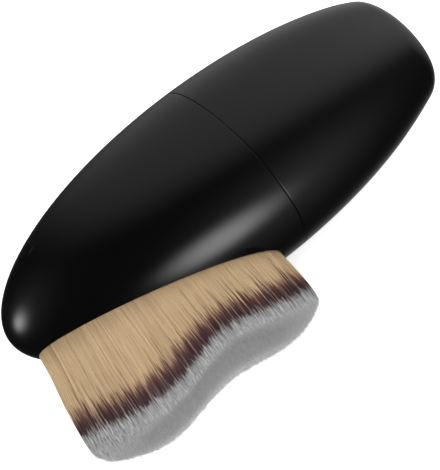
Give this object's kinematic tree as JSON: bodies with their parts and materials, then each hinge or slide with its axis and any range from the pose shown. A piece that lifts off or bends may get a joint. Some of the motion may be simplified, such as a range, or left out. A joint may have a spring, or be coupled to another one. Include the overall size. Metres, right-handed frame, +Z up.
{
  "type": "body dry brush",
  "caption": "Palm-held body dry brush: glossy black egg-shaped handle in front and rear shells with a flat tail end, and a dense oval tuft of soft three-tone filaments.",
  "frame": {"origin": "centre of the box at its lowest level, where the brush lies on its side on the ground", "axes": "+X along the handle from the rounded nose to the flat tail; +Y towards the palm side, the filaments point towards -Y and lean down until they touch the ground; +Z up"},
  "size_m": [0.1268, 0.0678, 0.05],
  "materials": {
    "shell": "piano-black moulded ABS, high gloss",
    "inner": "dark moulded plastic, matt",
    "resin": "cast resin, smooth",
    "filament": "fine synthetic filaments, tan with a dark brown band and pale grey tips"
  },
  "bodies": {
    "root": {"head_shell": "shell", "tail_shell": "shell", "join_sleeve": "inner", "socket_plate": "inner", "root_block": "resin", "bristle_bundle": "filament"}
  },
  "joints": []
}
